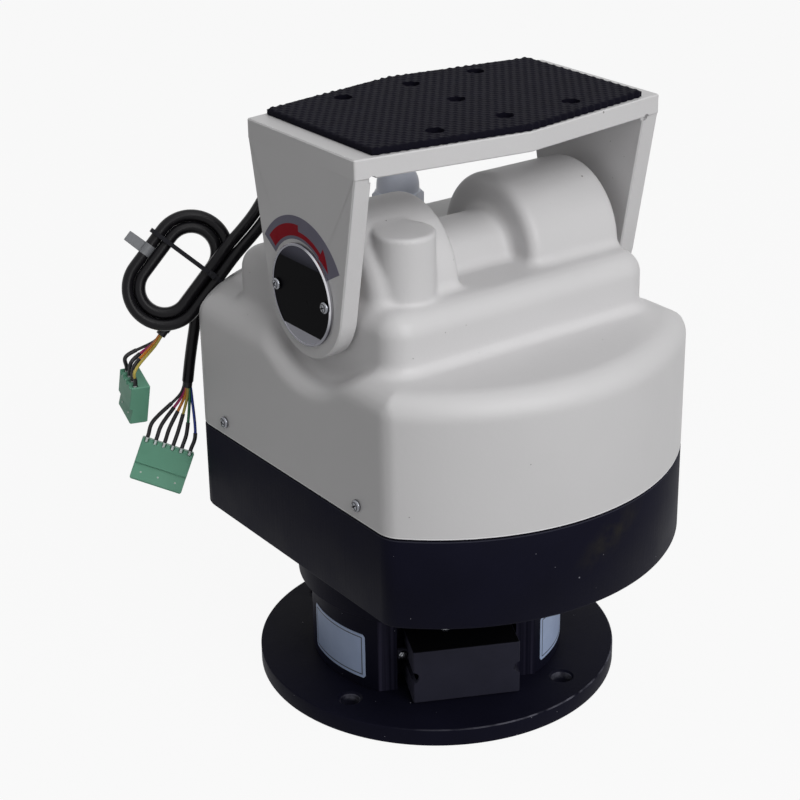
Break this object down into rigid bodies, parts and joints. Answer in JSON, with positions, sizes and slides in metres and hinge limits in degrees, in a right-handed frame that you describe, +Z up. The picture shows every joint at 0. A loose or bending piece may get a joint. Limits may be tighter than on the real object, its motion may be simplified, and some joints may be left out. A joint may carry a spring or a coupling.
{
  "type": "pan tilt head",
  "caption": "Remote pan tilt head: flanged column, black and grey housing that turns on it, and a yoke with a rubber-faced camera plate that tilts on a cross shaft.",
  "frame": {"origin": "centre of the flange's underside, on the pan axis", "axes": "+Z up along the pan axis, X along the tilt shaft with the badge arm at -X, and the curved front with the connector at -Y"},
  "size_m": [0.2252, 0.2712, 0.3267],
  "materials": {
    "black_paint": "satin black paint",
    "grey_paint": "satin light grey paint",
    "black_plastic": "matt black",
    "green_plastic": "matt green",
    "gland_nylon": "smooth grey-blue nylon",
    "rubber": "textured black rubber",
    "sheath": "smooth black sheath",
    "steel": "bright plated steel",
    "bronze": "turned bronze",
    "aluminium": "satin aluminium",
    "board": "green circuit board"
  },
  "bodies": {
    "base": {"base_flange": "black_paint", "pedestal": "black_paint", "connector_cover": "black_plastic", "terminal_block": "green_plastic", "connector_screw": "steel", "pocket_screw_left": "steel", "pocket_screw_right": "steel", "pan_spindle": "steel", "pan_wheel": "bronze"},
    "housing": {"lower_housing": "black_paint", "upper_cover": "grey_paint", "cover_gasket": "rubber", "side_screw_front_left": "steel", "side_screw_rear_left": "steel", "side_screw_front_right": "steel", "side_screw_rear_right": "steel", "pan_bearing": "steel", "pan_motor": "steel", "pan_gearbox": "aluminium", "pan_worm_bearing": "aluminium", "pan_limit_switch": "black_plastic", "control_board": "board", "tilt_motor": "steel", "tilt_motor_plate": "aluminium", "tilt_worm_bush": "bronze", "tilt_bush_left": "bronze", "tilt_bush_right": "bronze", "switch_plate": "steel", "tilt_switch_front": "black_plastic", "tilt_switch_rear": "black_plastic", "gland_body": "gland_nylon", "gland_cap": "gland_nylon", "cable_a_lead": "sheath", "cable_a_coil": "sheath", "cable_a_tail": "sheath", "cable_b_lead": "sheath", "cable_b_coil": "sheath", "cable_b_tail": "sheath", "bundle_tie": "black_plastic", "plug_a": "green_plastic", "plug_b": "green_plastic", "wires_a": "sheath", "wires_b": "sheath"},
    "pan_worm_shaft": {"pan_worm": "steel"},
    "tilt_worm_shaft": {"tilt_worm": "steel"},
    "yoke": {"tilt_shaft": "steel", "tilt_wheel": "bronze", "limit_cam": "aluminium", "yoke_arm_left": "grey_paint", "yoke_arm_right": "grey_paint", "camera_plate": "grey_paint", "rubber_pad": "rubber", "badge_disc": "aluminium", "badge_screw_front": "steel", "badge_screw_rear": "steel", "end_disc": "aluminium", "end_screw_front": "steel", "end_screw_rear": "steel"}
  },
  "joints": [
    {"name": "pan", "type": "hinge", "parent": "base", "child": "housing", "pos_m": [0, 0, 0.09], "axis": [0, 0, 1], "range_deg": [-175, 175]},
    {"name": "tilt", "type": "hinge", "parent": "housing", "child": "yoke", "pos_m": [0, -0.02, 0.244], "axis": [1, 0, 0], "range_deg": [-50, 60]},
    {"name": "pan_worm_spin", "type": "hinge", "parent": "housing", "child": "pan_worm_shaft", "pos_m": [0, 0.0531, 0.118], "axis": [1, 0, 0], "range_deg": [-7000, 7000]},
    {"name": "tilt_worm_spin", "type": "hinge", "parent": "housing", "child": "tilt_worm_shaft", "pos_m": [-0.056, -0.052, 0.244], "axis": [0, 0, 1], "range_deg": [-1500, 1800]}
  ],
  "couplings": [
    {"joint": "pan_worm_spin", "follows": "pan", "ratio": 40},
    {"joint": "tilt_worm_spin", "follows": "tilt", "ratio": 30}
  ]
}
